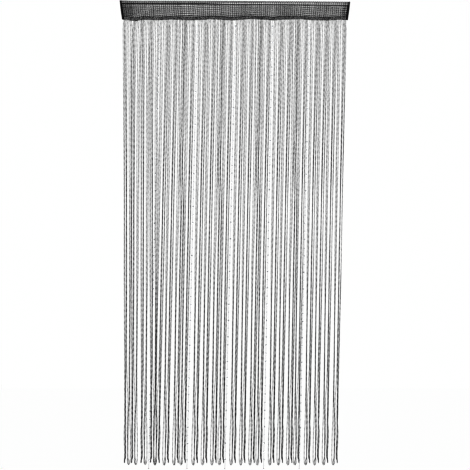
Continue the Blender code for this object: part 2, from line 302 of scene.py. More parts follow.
# Camera: level and straight on, where the photograph's frame is 2.009 m wide at the curtain
FRAME_WIDTH = 2.009
FRAME_MIDDLE = -0.9997
CAMERA_DISTANCE = 7.0
SENSOR = 36.0
FLOOR_HEIGHT = -2.03
FLOOR_HALF = 4.0
LIGHTS = (
    # name, place, aim, size, power (W)
    ("front_light", (-2.2, -4.5, 1.6), (0, 0, -0.9), 2.6, 190),
    ("side_light", (3.2, -3.0, 0.4), (0, 0, -1.0), 2.0, 60),
    ("back_light", (0.8, 4.0, 1.8), (0, 0, -0.8), 2.4, 90),
)


# ---------------------------------------------------------------- meshes


def outward(points, face_sets):
    """Faces turned about if the closed shape is inside out: the sum over fans of the triangles' signed
    volumes to its middle is then below zero."""
    volume = 0.0
    middle = points.mean(axis=0)
    for faces in face_sets:
        first = points[faces[:, 0]] - middle
        for k in range(1, faces.shape[1] - 1):
            volume += np.sum(first * np.cross(points[faces[:, k]] - middle, points[faces[:, k + 1]] - middle))
    return face_sets if volume > 0 else [faces[:, ::-1] for faces in face_sets]


def new_piece(name, points, face_sets, finish, uvs=None, smooth=True):
    """A mesh object from an array of points and arrays of faces with the same number of corners each.
    uvs holds one array of corner places for each of the face arrays."""
    corners = np.concatenate([faces.ravel() for faces in face_sets]).astype(np.int32)
    sizes = np.concatenate([np.full(len(faces), faces.shape[1]) for faces in face_sets])
    mesh = bpy.data.meshes.new(name)
    mesh.vertices.add(len(points))
    mesh.vertices.foreach_set("co", points.astype(np.float32).ravel())
    mesh.loops.add(len(corners))
    mesh.loops.foreach_set("vertex_index", corners)
    mesh.polygons.add(len(sizes))
    mesh.polygons.foreach_set("loop_start", np.concatenate([[0], np.cumsum(sizes)[:-1]]).astype(np.int32))
    mesh.polygons.foreach_set("use_smooth", np.full(len(sizes), smooth))
    if uvs is not None:
        layer = mesh.uv_layers.new(name="flat")
        layer.data.foreach_set("uv", np.concatenate([uv.ravel() for uv in uvs]).astype(np.float32))
    mesh.update(calc_edges=True)
    mesh.validate()
    mesh.materials.append(finish)
    piece = bpy.data.objects.new(name, mesh)
    bpy.context.scene.collection.objects.link(piece)
    return piece


def hand_over(piece, slot, *nodes):
    """The piece hangs with the curtain's one body, and the nodes are hidden. slot is not used."""
    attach(piece, "root")
    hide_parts(*nodes)
    return piece


def make_solid(piece, thickness, thin_share=1.0):
    """Give a sheet its thickness, half of it on each side, and keep the edges of its bars sharp. What is
    outside its vertex group, if it has one, gets a share of the thickness."""
    solidify = piece.modifiers.new("thickness", "SOLIDIFY")
    solidify.thickness = thickness
    solidify.offset = 0
    solidify.use_quality_normals = True
    if piece.vertex_groups:
        solidify.vertex_group = piece.vertex_groups[0].name
        solidify.thickness_vertex_group = thin_share
    bpy.context.view_layer.update()
    solid = bpy.data.meshes.new_from_object(piece.evaluated_get(bpy.context.evaluated_depsgraph_get()))
    piece.modifiers.clear()
    piece.vertex_groups.clear()
    piece.data = solid
    solid.set_sharp_from_angle(angle=SHARP_ANGLE)


def surface_area(piece):
    """The sum of the areas of a piece's faces."""
    areas = np.zeros(len(piece.data.polygons))
    piece.data.polygons.foreach_get("area", areas)
    return float(areas.sum())


def turned(profile, sides):
    """A profile of (height, radius) turned about Z: point (i, k) is radius i at angle 2 pi k / sides.
    The first and last rings are closed by flat caps."""
    heights, radii = np.array(profile, float).T
    angles = 2 * np.pi * np.arange(sides) / sides
    ring = np.stack([np.cos(angles), np.sin(angles), np.zeros(sides)], axis=1)
    points = radii[:, None, None] * ring + heights[:, None, None] * np.array((0.0, 0.0, 1.0))
    quads, caps = tube_faces(len(profile), sides)
    points = points.reshape(-1, 3)
    return points, outward(points, [quads, caps])


def tube_faces(rings, sides):
    """Quads between neighbouring rings of the same number of sides, and a cap on the first and last."""
    ring, side = np.meshgrid(np.arange(rings - 1), np.arange(sides), indexing="ij")
    here, beside = ring * sides + side, ring * sides + (side + 1) % sides
    quads = np.stack([here, beside, beside + sides, here + sides], axis=-1).reshape(-1, 4)
    cap = np.arange(sides)
    return quads, np.stack([cap[::-1], (rings - 1) * sides + cap])


def copies(points, face_sets, places, scales=None, turns=None):
    """One joined mesh of a small shape at many places, each with its own scale and turn about Z."""
    count = len(places)
    scales = np.ones(count) if scales is None else scales
    turns = np.zeros(count) if turns is None else turns
    cos, sin = np.cos(turns)[:, None], np.sin(turns)[:, None]
    x, y, z = (points[None, :, axis] * scales[:, None] for axis in range(3))
    spread = np.stack([x * cos - y * sin, x * sin + y * cos, z], axis=-1) + places[:, None, :]
    offsets = np.arange(count)[:, None, None] * len(points)
    return spread.reshape(-1, 3), [
        (faces[None] + offsets).reshape(-1, faces.shape[1]) for faces in face_sets
    ]


def joined(*parts):
    """Several (points, faces) shapes with the same kinds of faces as one."""
    points, sets, first = [], [[] for _ in parts[0][1]], 0
    for part_points, part_sets in parts:
        points.append(part_points)
        for kept, faces in zip(sets, part_sets):
            kept.append(faces + first)
        first += len(part_points)
    return np.concatenate(points), [np.concatenate(kept) for kept in sets]


# ---------------------------------------------------------------- materials


def srgb(code):
    """A hex colour in sRGB as the linear values that a shader takes."""
    values = [int(code[i : i + 2], 16) / 255 for i in (1, 3, 5)]
    return (*[v / 12.92 if v <= 0.04045 else ((v + 0.055) / 1.055) ** 2.4 for v in values], 1.0)


def add_node(tree, kind, settings=None, **links):
    """A node with its settings, and its inputs set to values or joined to outputs."""
    node = tree.nodes.new(kind)
    for name, value in (settings or {}).items():
        setattr(node, name, value)
    for name, value in links.items():
        key = int(name[1:]) if name[1:].isdigit() else name.replace("_", " ")
        if isinstance(value, bpy.types.NodeSocket):
            tree.links.new(value, node.inputs[key])
        else:
            node.inputs[key].default_value = value
    return node


def start_material(name):
    """An empty material with a Principled shader on its output."""
    made = bpy.data.materials.new(name)
    made.use_nodes = True
    tree = made.node_tree
    shader = tree.nodes["Principled BSDF"]
    return made, tree, shader


def knit_material(name, dark, light, roughness, pattern, depth):
    """Dull black textile. pattern(tree) gives the height of its loops from 0 to 1: hollows are darker by
    painted shade and duller, and crests lighter by painted highlight. One noise varies the dye, and a fine
    one is the fibres' fuzz."""
    made, tree, shader = start_material(name)
    height = pattern(tree)
    place = add_node(tree, "ShaderNodeTexCoord").outputs["Object"]
    dye = add_node(tree, "ShaderNodeTexNoise", Vector=place, Scale=DYE_PATCHES, Detail=3.0, Roughness=0.6)
    fuzz = add_node(tree, "ShaderNodeTexNoise", Vector=place, Scale=FUZZ_GRAINS, Detail=2.0)
    # Painted shade and highlight: the colour runs from the dark one in the loops' hollows to the light one on
    # their crests, scaled by the dye's patches
    dye_and_painted_shade = add_node(
        tree, "ShaderNodeMath", {"operation": "MULTIPLY"}, _0=height, _1=dye.outputs["Fac"]
    ).outputs[0]
    dye_and_painted_shade = add_node(
        tree, "ShaderNodeMath", {"operation": "ADD", "use_clamp": True}, _0=dye_and_painted_shade, _1=LIT_SHARE_IN_PAINTED_SHADE
    ).outputs[0]
    colour = add_node(
        tree, "ShaderNodeMix", {"data_type": "RGBA"}, _0=dye_and_painted_shade, _6=srgb(dark), _7=srgb(light)
    ).outputs[2]
    tree.links.new(colour, shader.inputs["Base Color"])
    rough = add_node(
        tree, "ShaderNodeMapRange", Value=height, To_Min=roughness + HOLLOW_DULLER, To_Max=roughness
    ).outputs[0]
    tree.links.new(rough, shader.inputs["Roughness"])
    relief = add_node(
        tree, "ShaderNodeMath", {"operation": "MULTIPLY_ADD"}, _0=fuzz.outputs["Fac"], _1=FUZZ_RELIEF,
        _2=height,
    ).outputs[0]
    bump = add_node(tree, "ShaderNodeBump", Height=relief, Strength=0.8, Distance=depth)
    tree.links.new(bump.outputs[0], shader.inputs["Normal"])
    shader.inputs["Sheen Weight"].default_value = 0.25
    shader.inputs["Sheen Roughness"].default_value = 0.4
    shader.inputs["Specular IOR Level"].default_value = 0.3
    return made


def bands(tree, across, along):
    """Soft bands from 0 to 1 on the piece's own UV map: the sine of 2 pi times across x U plus along x V.
    A wave texture's band is one turn for every 2 pi / 10 of its diagonal."""
    place = add_node(tree, "ShaderNodeUVMap", {"uv_map": "flat"}).outputs[0]
    unit = 2 * math.pi / 10
    mapped = add_node(
        tree, "ShaderNodeMapping", Vector=place, Scale=(across * unit, along * unit, 0)
    ).outputs[0]
    slanted = {"wave_type": "BANDS", "bands_direction": "DIAGONAL"}
    return add_node(tree, "ShaderNodeTexWave", slanted, Vector=mapped, Scale=1.0).outputs["Fac"]


def net_loops(tree):
    """Pillar stitches: slanted loops that cross both ways along the bars of the net, the higher one on
    top."""
    stitch = 1 / LOOP_LENGTH
    rising, falling = (bands(tree, way * LOOP_SLANT * stitch, stitch) for way in (1, -1))
    return add_node(tree, "ShaderNodeMath", {"operation": "MAXIMUM"}, _0=rising, _1=falling).outputs[0]


def tape_weave(tree):
    """Rep weave: the height of the weft's ribs times that of the warp's."""
    weft, warp = bands(tree, 0, 1 / RIB_PITCH), bands(tree, 1 / WARP_PITCH, 0)
    return add_node(tree, "ShaderNodeMath", {"operation": "MULTIPLY"}, _0=weft, _1=warp).outputs[0]


def yarn_braid(tree):
    """Flat braid: strands that cross both ways, the higher one on top. U once round the yarn crosses two
    of them, and V one in each stitch's length."""
    rising, falling = (bands(tree, way * 2, 1 / YARN_STITCH) for way in (1, -1))
    return add_node(tree, "ShaderNodeMath", {"operation": "MAXIMUM"}, _0=rising, _1=falling).outputs[0]


def thread_ply(tree):
    """Twisted plies: one band, which turns round the thread as it goes along."""
    return bands(tree, 1, 1 / PLY_TURN)


def clear_material(name, colour, roughness, ior, haze):
    """Clear plastic. Scratches from handling vary its roughness between roughness and haze, and clouds
    vary its tint."""
    made, tree, shader = start_material(name)
    place = add_node(tree, "ShaderNodeTexCoord").outputs["Object"]
    scratches = add_node(
        tree, "ShaderNodeTexNoise", Vector=place, Scale=SCRATCHES, Detail=4.0, Roughness=0.7
    )
    rough = add_node(
        tree, "ShaderNodeMapRange", Value=scratches.outputs["Fac"], From_Min=0.35, From_Max=0.75,
        To_Min=roughness, To_Max=haze,
    ).outputs[0]
    tree.links.new(rough, shader.inputs["Roughness"])
    cloud = add_node(tree, "ShaderNodeTexNoise", Vector=place, Scale=TINT_CLOUDS, Detail=2.0)
    darker = tuple(CLOUD_DARK * v for v in srgb(colour)[:3]) + (1.0,)
    tint = add_node(
        tree, "ShaderNodeMix", {"data_type": "RGBA"}, _0=cloud.outputs["Fac"], _6=darker, _7=srgb(colour)
    ).outputs[2]
    tree.links.new(tint, shader.inputs["Base Color"])
    shader.inputs["Transmission Weight"].default_value = 1.0
    shader.inputs["IOR"].default_value = ior
    return made


def make_materials():
    """Every finish of the curtain."""
    return {
        # Warp-knitted polyester net, heat-set: dull black bars with a faint grain of slanted loops, painted
        # shade in their hollows and painted highlight on their crests
        "net": knit_material("black_polyester_net", "#0c0c0d", "#242426", 0.72, net_loops, 0.25 * MM),
        # Woven polyester tape: fine ribs that read as a dense, even black, with painted shade between them
        # and painted highlight on them
        "tape": knit_material("black_woven_tape", "#0a0a0b", "#202022", 0.7, tape_weave, 0.2 * MM),
        # Braided polyester yarn: black, a little silky on its ridges, which are also painted lighter as
        # highlight, with painted shade in its hollows
        "yarn": knit_material("black_braided_yarn", "#0e0e0f", "#2b2b2e", 0.6, yarn_braid, 0.2 * MM),
        # Spun polyester sewing thread: twisted plies with a low shine, their crests painted lighter as
        # highlight and their grooves darker as shade
        "sewing": knit_material("black_sewing_thread", "#0b0b0c", "#29292b", 0.5, thread_ply, 0.1 * MM),
        # Moulded acrylic with cut facets: clear and faintly smoky, dark and light facets in turn
        "bead": clear_material("smoky_clear_acrylic", "#d0d2d5", 0.03, 1.49, 0.12),
        # Drawn nylon monofilament: clear and slightly milky
        "nylon": clear_material("clear_nylon_monofilament", "#aaacaf", 0.12, 1.53, 0.3),
    }


# ---------------------------------------------------------------- heading


def half_width(z):
    """Half of the heading's width at a height: it draws in evenly down to the tape."""
    share = np.clip(-z / TAPER_HEIGHT, 0, 1)
    return (WIDTH_TOP + (WIDTH_LOW - WIDTH_TOP) * share) / 2


def hem_height(x):
    """Height of the tape's lower edge."""
    return np.interp(x, HEM_LINE[:, 0], HEM_LINE[:, 1])


def slow_waves(across, waves):
    """A sum of sines along the width, each given by its size, its radians in half of the width and its
    start."""
    return sum(size * np.sin(pace * across + start) for size, pace, start in waves)


def hung_height(across, share, side):
    """The height at which a share of the cloth hangs: it falls evenly from the top edge to the seam's
    upper edge, to its lower edge and to the tape. Between the seam and the tape the rows also wander up
    and down by slow waves, other ones on the front and on the back."""
    x = across * WIDTH_TOP / 2
    top, upper, lower = (np.interp(x, SEAM_LINE[:, 0], SEAM_LINE[:, line]) for line in (1, 2, 3))
    tape = hem_height(x) + TAPE_HEIGHT
    over = top + (upper - top) * share / SEAM_FROM
    within = upper + (lower - upper) * (share - SEAM_FROM) / (SEAM_TO - SEAM_FROM)
    under = lower + (tape - lower) * (share - SEAM_TO) / (1 - SEAM_TO)
    height = np.where(share < SEAM_FROM, over, np.where(share < SEAM_TO, within, under))
    free = np.clip((share - SEAM_TO) / DRIFT_IN, 0, 1) * np.clip((1 - share) / DRIFT_OUT, 0, 1)
    drift = np.where(side > 0, slow_waves(across, BACK_ROWS), slow_waves(across, FRONT_ROWS))
    return height - ROW_DRIFT * free * drift


def heading_place(across, fold):
    """A place on the folded net. across runs from -1 to 1; fold runs from -1 at the front's lower edge
    over 0 at the fold to 1 at the back's lower edge. The depth is the cloth's sway plus or minus a wall's
    own depth: a thin flat part at the fold and at the tape, and between them the pocket, a sine arch with
    blunt ends. Fine ripples run down the walls. The columns of both walls wander sideways by a slow wave,
    and the back's by some more, so that its bars pass behind the front's holes in places."""
    side = np.sign(fold)
    share = np.abs(fold)
    z = hung_height(across, share, side)
    x = across * half_width(z)
    pocket = np.clip((share - POCKET_FROM) / (POCKET_TO - POCKET_FROM), 0, 1)
    arch = np.sin(np.pi * pocket) ** POCKET_BLUNT
    edge = np.clip(share / FOLD_ROUND, 0, 1) ** 0.5
    ripple = sum(size * np.sin(2 * np.pi * x / length + start * side) for size, length, start in RIPPLES)
    wall = WALL_DEPTH * edge + POCKET_DEPTH * arch + RIPPLE_DEPTH * ripple * arch
    y = slow_waves(across, HEADING_WAVES) * np.sin(np.pi * share) + side * wall
    stretch = (1 + STRETCH_RIGHT * across) * slow_waves(across, STRETCH_WAVES)
    behind = np.clip(fold / STRETCH_OVER, 0, 1) * np.cos(np.pi / 2 * across)
    inside = np.clip((1 - np.abs(across)) / STILL_END, 0, 1)
    slant = slow_waves(across, COLUMN_WAVES) * np.sin(np.pi * share) * inside
    return np.stack([x + BACK_STRETCH * stretch * behind + COLUMN_DRIFT * slant, y, z], axis=-1)


def wall_rows(lower):
    """The rows of cells of one wall, from the fold down: where each starts and ends, how broad its holes
    are in their cells, and where they start and end. The rows under the seam are evenly spaced, and lie
    lower by a share of one row, which leaves a shorter row at the seam and at the tape."""
    pitch = (1 - SEAM_TO) / NET_ROWS
    starts = SEAM_TO + pitch * np.arange(1 - (lower > 0), NET_ROWS) + pitch * lower
    edges = np.concatenate([[0, FOLD_ROW, SEAM_FROM, SEAM_TO], starts, [1]])
    hole_from, hole_to = edges[:-1] + BAR, edges[1:] - BAR
    hole_from[0] = FOLD_BAR
    hole_to[-1] = 1 - TAPE_SEAM
    width = np.full(len(edges) - 1, NET_HOLE)
    width[0] = FOLD_HOLE
    width[2] = 0
    width[-2:] *= LAST_HOLES
    return edges, width, hole_from, hole_to


def net_holes(rng):
    """The edges of the rows on the folded sheet, from the front's lower edge over the fold to the back's,
    each hole's share of its cell's width, and how far the holes of a row are moved and how much they are
    stretched down their cells. The holes are smaller near the heading's ends, where cloth is turned in,
    and the left hem has none."""
    front, front_width, *front_reach = wall_rows(0)
    back, back_width, *back_reach = wall_rows(BACK_LOWER)
    edges = np.concatenate([-front[::-1], back[1:]])
    broad = np.concatenate([front_width[::-1], back_width])
    hole_from = np.concatenate([-front_reach[1][::-1], back_reach[0]])
    hole_to = np.concatenate([-front_reach[0][::-1], back_reach[1]])
    columns = np.arange(NET_COLUMNS)
    size = np.interp(columns, *LEFT_END) * np.interp(NET_COLUMNS - 1 - columns, *RIGHT_END)
    width = broad[:, None] * size[None, :] * rng.uniform(*HOLE_SPREAD, (len(broad), NET_COLUMNS))
    for wall in (slice(0, len(front) - 1), slice(len(front) - 1, None)):
        width[wall] *= rng.uniform(*COLUMN_SPREAD, NET_COLUMNS)
    over_seam = np.isclose(np.minimum(np.abs(edges[:-1]), np.abs(edges[1:])), FOLD_ROW)
    width[over_seam] *= np.interp(columns / NET_COLUMNS, (DRAWN_FULLY, DRAWN_TO), (DRAWN_HOLE, 1))
    height = edges[1:] - edges[:-1]
    middle = (hole_from + hole_to - edges[:-1] - edges[1:]) / height
    half = (hole_to - hole_from) / height / np.maximum(broad, NET_HOLE / 2)
    return edges, width, middle, half


def pierced_sheet(edges, columns, width, middle, half, shift=0.0):
    """A sheet of cells on a grid, rows between the edges by columns from -1 to 1. A cell's border has
    eight points, its corners and the middles of its sides, and its hole has eight more on a square with
    rounded corners, so that eight quads make its bars. A cell with no hole is four quads. width is each
    hole's share of its cell's width, middle and half move and stretch the holes of a row, and shift
    moves those of the even columns to the left and of the odd ones to the right."""
    rows = len(edges) - 1
    down = np.empty(2 * rows + 1)
    down[::2] = edges
    down[1::2] = (edges[:-1] + edges[1:]) / 2
    across = np.linspace(-1, 1, 2 * columns + 1)
    grid = np.stack(np.meshgrid(down, across, indexing="ij"), axis=-1)
    # The border's points in turn, as steps from the cell's middle
    turn_down = np.array((-1, -1, -1, 0, 1, 1, 1, 0))
    turn_across = np.array((-1, 0, 1, 1, 1, 0, -1, -1))
    pull = np.where(turn_down * turn_across == 0, 1.0, HOLE_CORNER)
    cell_rows, cell_columns = np.meshgrid(np.arange(rows), np.arange(columns), indexing="ij")
    centre = (2 * cell_rows + 1) * (2 * columns + 1) + 2 * cell_columns + 1
    border = centre[..., None] + turn_down * (2 * columns + 1) + turn_across
    row_half = ((edges[1:] - edges[:-1]) / 2)[:, None, None]
    row_middle = down[1::2][:, None, None] + row_half * middle[:, None, None]
    hole_down = row_middle + row_half * half[:, None, None] * width[..., None] * turn_down * pull
    middle_across = across[1::2] + shift * np.where(np.arange(columns) % 2, 1, -1) / columns
    hole_across = middle_across[None, :, None] + width[..., None] * turn_across * pull / columns
    ring_start = (2 * rows + 1) * (2 * columns + 1)
    ring = ring_start + np.arange(rows * columns * 8).reshape(rows, columns, 8)
    flat = np.concatenate([grid.reshape(-1, 2), np.stack([hole_down, hole_across], axis=-1).reshape(-1, 2)])
    pierced = width > 0
    around, inner = border[pierced], ring[pierced]
    bars = np.stack([around, np.roll(around, -1, 1), np.roll(inner, -1, 1), inner], axis=-1).reshape(-1, 4)
    solid, middles = border[~pierced], centre[~pierced]
    filled = np.concatenate(
        [
            np.stack([solid[:, k], solid[:, k + 1], middles, solid[:, (k - 1) % 8]], axis=-1)
            for k in (0, 2, 4, 6)
        ]
    )
    faces = np.concatenate([bars, filled])
    used = np.unique(faces)
    return flat[used], np.searchsorted(used, faces)


def build_net(finish):
    """The net: one sheet from the front's lower edge over the fold to the back's, and its area without
    its holes."""
    rng = np.random.default_rng(11)
    edges, *holes = net_holes(rng)
    flat, faces = pierced_sheet(edges, NET_COLUMNS, *holes, PILLAR_SHIFT)
    fold, across = flat.T
    points = heading_place(across, fold)
    # The fold is scalloped: it dips at the broader pillars
    scallop = 0.5 - 0.5 * np.cos(np.pi / 2 * (across + 1) * NET_COLUMNS)
    height = -hem_height(across * WIDTH_TOP / 2) - TAPE_HEIGHT
    uv = np.stack([across * WIDTH_TOP / 2, fold * height], axis=-1)
    points[:, 2] -= SCALLOP * scallop * np.clip(1 - np.abs(fold) / SCALLOP_TO, 0, 1)
    net = new_piece("heading_net", points, [faces], finish, [uv[faces]])
    hem = np.abs(across) > 1 - 2 * HEM_COLUMNS / NET_COLUMNS
    weights = net.vertex_groups.new(name="hem")
    weights.add(np.flatnonzero(hem).tolist(), 1.0, "REPLACE")
    cloth = surface_area(net)
    make_solid(net, HEM_THICK, NET_THICK / HEM_THICK)
    return net, cloth


def small_ball(half):
    """A little round body: rings of a ball at five heights."""
    angles = np.radians((-80, -40, 0, 40, 80))
    return turned(np.stack([half * np.sin(angles), half * np.cos(angles)], axis=1), SEWN_SIDES)


def build_picots(finish):
    """A small knot of yarn on the fold between each two of its dips."""
    rng = np.random.default_rng(12)
    across = np.linspace(-1, 1, NET_COLUMNS + 1)[2:-1:2]
    places = heading_place(across, np.zeros(len(across)))
    places[:, 2] -= PICOT_DROP
    points, faces = small_ball(PICOT_RADIUS)
    scales = rng.uniform(*PICOT_SPREAD, len(places))
    return new_piece("heading_picots", *copies(points, faces, places, scales), finish)


def stitch_row(share, side):
    """Places of the stitches along a seam at a share of the height, on the front or the back wall."""
    count = int(WIDTH_LOW / STITCH_PITCH)
    across = (np.arange(count) + 0.5) / count * 2 - 1
    places = heading_place(across, np.full(count, share * side))
    places[:, 1] += side * STITCH_OUT
    return places


def build_stitches(finish):
    """Two rows of stitches at the seam and one over the tape, on both faces. A stitch is a short bar of
    thread that dips into the cloth at its ends: its radius follows half an ellipse along X."""
    along = np.linspace(-STITCH_TIP, STITCH_TIP, 5)
    profile = np.stack([along * STITCH_HALF, STITCH_RADIUS * np.sqrt(1 - along**2)], axis=1)
    points, faces = turned(profile, SEWN_SIDES)
    points = points[:, [2, 0, 1]]
    places = np.concatenate([stitch_row(share, side) for side in (-1, 1) for share in STITCH_ROWS])
    piece_points, piece_faces = copies(points, faces, places)
    length = np.broadcast_to(points[:, 0], (len(places), len(points))).ravel()
    angle = np.arctan2(points[:, 2], points[:, 1]) / (2 * np.pi)
    angle = np.broadcast_to(angle, (len(places), len(points))).ravel()
    uv = np.stack([angle, length], axis=-1)
    return new_piece("heading_stitches", piece_points, piece_faces, finish, [uv[f] for f in piece_faces])


def build_tape(finish):
    """The open-woven tape: three rows of small holes between its ribs, carried along the hem line. Between
    its edges every second rib stands out to the back, and the others to the front, by half a sine."""
    rng = np.random.default_rng(14)
    edges = np.linspace(0, 1, TAPE_ROWS + 1)
    width = TAPE_HOLE * rng.uniform(*TAPE_SPREAD, (TAPE_ROWS, TAPE_COLUMNS))
    # Two columns at each end are hemmed
    width[:, [0, 1, -2, -1]] = 0
    flat, faces = pierced_sheet(edges, TAPE_COLUMNS, width, np.zeros(TAPE_ROWS), np.ones(TAPE_ROWS))
    share, across = flat.T
    low = hem_height(across * WIDTH_TOP / 2)
    high = low + TAPE_HEIGHT - GAP
    z = high + (low - high) * share
    rib = RIB_DEPTH * np.cos(np.pi * across * TAPE_COLUMNS / 2)
    points = np.stack([across * half_width(z), rib * np.sin(np.pi * share), z], axis=-1)
    uv = np.stack([across * WIDTH_LOW / 2, share * TAPE_HEIGHT], axis=-1)
    tape = new_piece("tape", points, [faces], finish, [uv[faces]])
    cloth = surface_area(tape)
    make_solid(tape, TAPE_THICK)
    return tape, cloth


def build_knots(finish):
    """A knot where each string leaves the tape."""
    rng = np.random.default_rng(13)
    x = []
    for group in GROUPS:
        top, turn, roots = group[0], group[-1], stations_of(group)[0][1]
        x.extend(top + turn * place for place in roots)
    x = np.array(x) * MM
    places = np.stack([x, np.zeros(len(x)), hem_height(x) + KNOT_RISE], axis=-1)
    points, faces = small_ball(KNOT_RADIUS)
    scales = rng.uniform(*KNOT_SPREAD, len(x))
    return new_piece("tape_knots", *copies(points * KNOT_FORM, faces, places, scales), finish)


# ---------------------------------------------------------------- strings


def smooth_through(knots, values, at):
    """A smooth curve through the knots, read at other places: cubic pieces, whose slope at a knot is the
    harmonic mean of the slopes on its two sides, or none where they turn, so that it never overshoots."""
    rises = np.diff(values) / np.diff(knots)
    product = rises[:-1] * rises[1:]
    total = rises[:-1] + rises[1:]
    inner = np.divide(2 * product, total, out=np.zeros_like(product), where=product > 0)
    slopes = np.concatenate([rises[:1], inner, rises[-1:]])
    i = np.clip(np.searchsorted(knots, at) - 1, 0, len(knots) - 2)
    span = knots[i + 1] - knots[i]
    t = (at - knots[i]) / span
    return (
        (2 * t**3 - 3 * t**2 + 1) * values[i]
        + (t**3 - 2 * t**2 + t) * span * slopes[i]
        + (3 * t**2 - 2 * t**3) * values[i + 1]
        + (t**3 - t**2) * span * slopes[i + 1]
    )


def stations_of(group):
    """The stations that a group's legs pass: a group with a close neighbour has its own upper ones."""
    if group[0] in CLOSE_GROUPS:
        return CLOSE_STATIONS + STATIONS[len(CLOSE_STATIONS) :]
    return STATIONS


def leg_path(group, number, rng):
    """Centres of a string's leg from the tape to its bend. Its place across the group and its depth go
    smoothly through the stations. The group leans evenly from tape to foot and bows to a side, the most
    at three tenths of the way down. Two sines of small size, which fade at both ends, are its kinks."""
    top, foot, bow, behind, turn = group
    loop, side, depth = LEGS[number]
    sign = 1 if side else -1
    middle, half, start, _ = LOOP_ENDS[loop]
    stations = stations_of(group)
    places = np.array([places[number] for _, places in stations] + [middle + sign * half])
    root = -float(hem_height((top + turn * places[0]) * MM))
    knots = np.array([root] + [below * MM for below, _ in stations[1:]] + [-start * MM])
    steps = int(round((knots[-1] - root) / YARN_STEP))
    down = np.linspace(root, knots[-1], steps + 1)
    across = smooth_through(knots, places, down)
    depths = np.full(len(knots), behind + turn * depth)
    depths[0] = 0
    lean = (down - TAPER_HEIGHT) / (LENGTH - TAPER_HEIGHT)
    bowed = bow * np.sin(np.pi * np.clip(lean, 0, 1) ** BOW_POWER)
    x = (top + (foot - top) * lean + bowed + turn * across) * MM
    y = smooth_through(knots, depths, down) * MM
    still = np.clip((down - root) / STILL_TOP, 0, 1) * np.clip((knots[-1] - down) / STILL_FOOT, 0, 1)
    kink_length, bend_length = rng.uniform(*KINK_LENGTHS), rng.uniform(*BEND_LENGTHS)
    kink_start, bend_start = rng.uniform(0, 2 * np.pi, 2)
    kink = 2 * np.pi * down / kink_length + kink_start
    bend = 2 * np.pi * down / bend_length + bend_start
    x = x + KINK * still * np.sin(kink) + BEND * still * np.sin(bend)
    y = y + KINK / 2 * still * np.cos(kink)
    return np.stack([x, y, -down], axis=-1)


def loop_path(group, loop, rng):
    """Centres of a whole loop: one leg down, half an ellipse round its bend, and the other leg up. The
    second value is the level direction that stands across the bend."""
    first, second = (leg_path(group, 2 * loop + side, rng) for side in (0, 1))
    start, end = first[-1], second[-1]
    reach = (end - start) / 2
    drop = start[2] - LOOP_ENDS[loop][3] * MM
    angle = (np.pi * np.arange(1, BEND_STEPS) / BEND_STEPS)[:, None]
    bend = (start + end) / 2 - reach * np.cos(angle) - np.array((0, 0, drop)) * np.sin(angle)
    along = reach / np.linalg.norm(reach)
    return np.concatenate([first, bend, second[::-1]]), np.array((-along[1], along[0], 0.0))


def yarn_tube(path, level, rng):
    """An oval carried along a path. At each centre the oval's broad axis is turned by pi for every half
    turn's length from the level direction towards the one square to it and to the path. The oval swells
    by a sine of the length, and grows evenly down to the foot."""
    heading = np.gradient(path, axis=0)
    heading /= np.linalg.norm(heading, axis=1, keepdims=True)
    square = np.cross(heading, level)
    square /= np.linalg.norm(square, axis=1, keepdims=True)
    flat = np.cross(square, heading)
    length = np.concatenate([[0], np.cumsum(np.linalg.norm(np.diff(path, axis=0), axis=1))])
    pace = 1 + TURN_SWAY * np.sin(length * rng.uniform(*SWAY_PACES) + rng.uniform(0, 6))
    step = np.concatenate([[0], np.diff(length)]) * pace
    half_turn = HALF_TURN * rng.uniform(*TURN_SPREAD)
    twist = (np.pi * np.cumsum(step) / half_turn + rng.uniform(0, np.pi))[:, None]
    broad = np.cos(twist) * flat + np.sin(twist) * square
    narrow = np.cos(twist) * square - np.sin(twist) * flat
    opened = np.interp(-path[:, 2], [FULLER_FROM, FULLER_TO], [1, 1 + FOOT_FULLER])
    swell = (opened + SWELL * np.sin(length * rng.uniform(*SWELL_PACES)))[:, None, None]
    angle = (2 * np.pi * np.arange(YARN_SIDES) / YARN_SIDES)[None, :, None]
    rings = path[:, None, :] + swell * (
        YARN_BROAD * np.cos(angle) * broad[:, None, :] + YARN_FLAT * np.sin(angle) * narrow[:, None, :]
    )
    return rings.reshape(-1, 3), length


def tube_map(length, sides):
    """UV of a tube's quads and caps: U once round it, V its length in metres."""
    ring, side = np.meshgrid(np.arange(len(length) - 1), np.arange(sides), indexing="ij")
    u = np.stack([side, side + 1, side + 1, side], axis=-1) / sides
    v = length[np.stack([ring, ring, ring + 1, ring + 1], axis=-1)]
    around = np.arange(sides) / sides
    cap_u = np.stack([around[::-1], around])
    cap_v = np.repeat(length[[0, -1], None], sides, axis=1)
    return np.stack([u, v], axis=-1).reshape(-1, 4, 2), np.stack([cap_u, cap_v], axis=-1)


def tube_piece(name, tubes, sides, finish):
    """Several tubes, each given by its rings of points and its length at each ring, as one piece."""
    shapes, quad_maps, cap_maps = [], [], []
    for points, length in tubes:
        quads, caps = tube_faces(len(length), sides)
        quad_map, cap_map = tube_map(length, sides)
        turned_sets = outward(points, [quads, caps])
        if turned_sets[0] is not quads:
            quad_map, cap_map = quad_map[:, ::-1], cap_map[:, ::-1]
        shapes.append((points, turned_sets))
        quad_maps.append(quad_map)
        cap_maps.append(cap_map)
    points, faces = joined(*shapes)
    return new_piece(name, points, faces, finish, [np.concatenate(quad_maps), np.concatenate(cap_maps)])


def build_string_groups(finish):
    """Each group of four loops is one piece."""
    pieces = []
    for number, group in enumerate(GROUPS, 1):
        rng = np.random.default_rng(100 + number)
        tubes = [yarn_tube(*loop_path(group, loop, rng), rng) for loop in range(len(LOOP_ENDS))]
        pieces.append(tube_piece(f"strings_{number:02d}", tubes, YARN_SIDES, finish))
    return pieces


# ---------------------------------------------------------------- bead strings


def bead_string_x(top, foot, start, z):
    """A bead string hangs straight from the tape to its foot."""
    return (top + (foot - top) * (start - z) / (start + LENGTH)) * MM


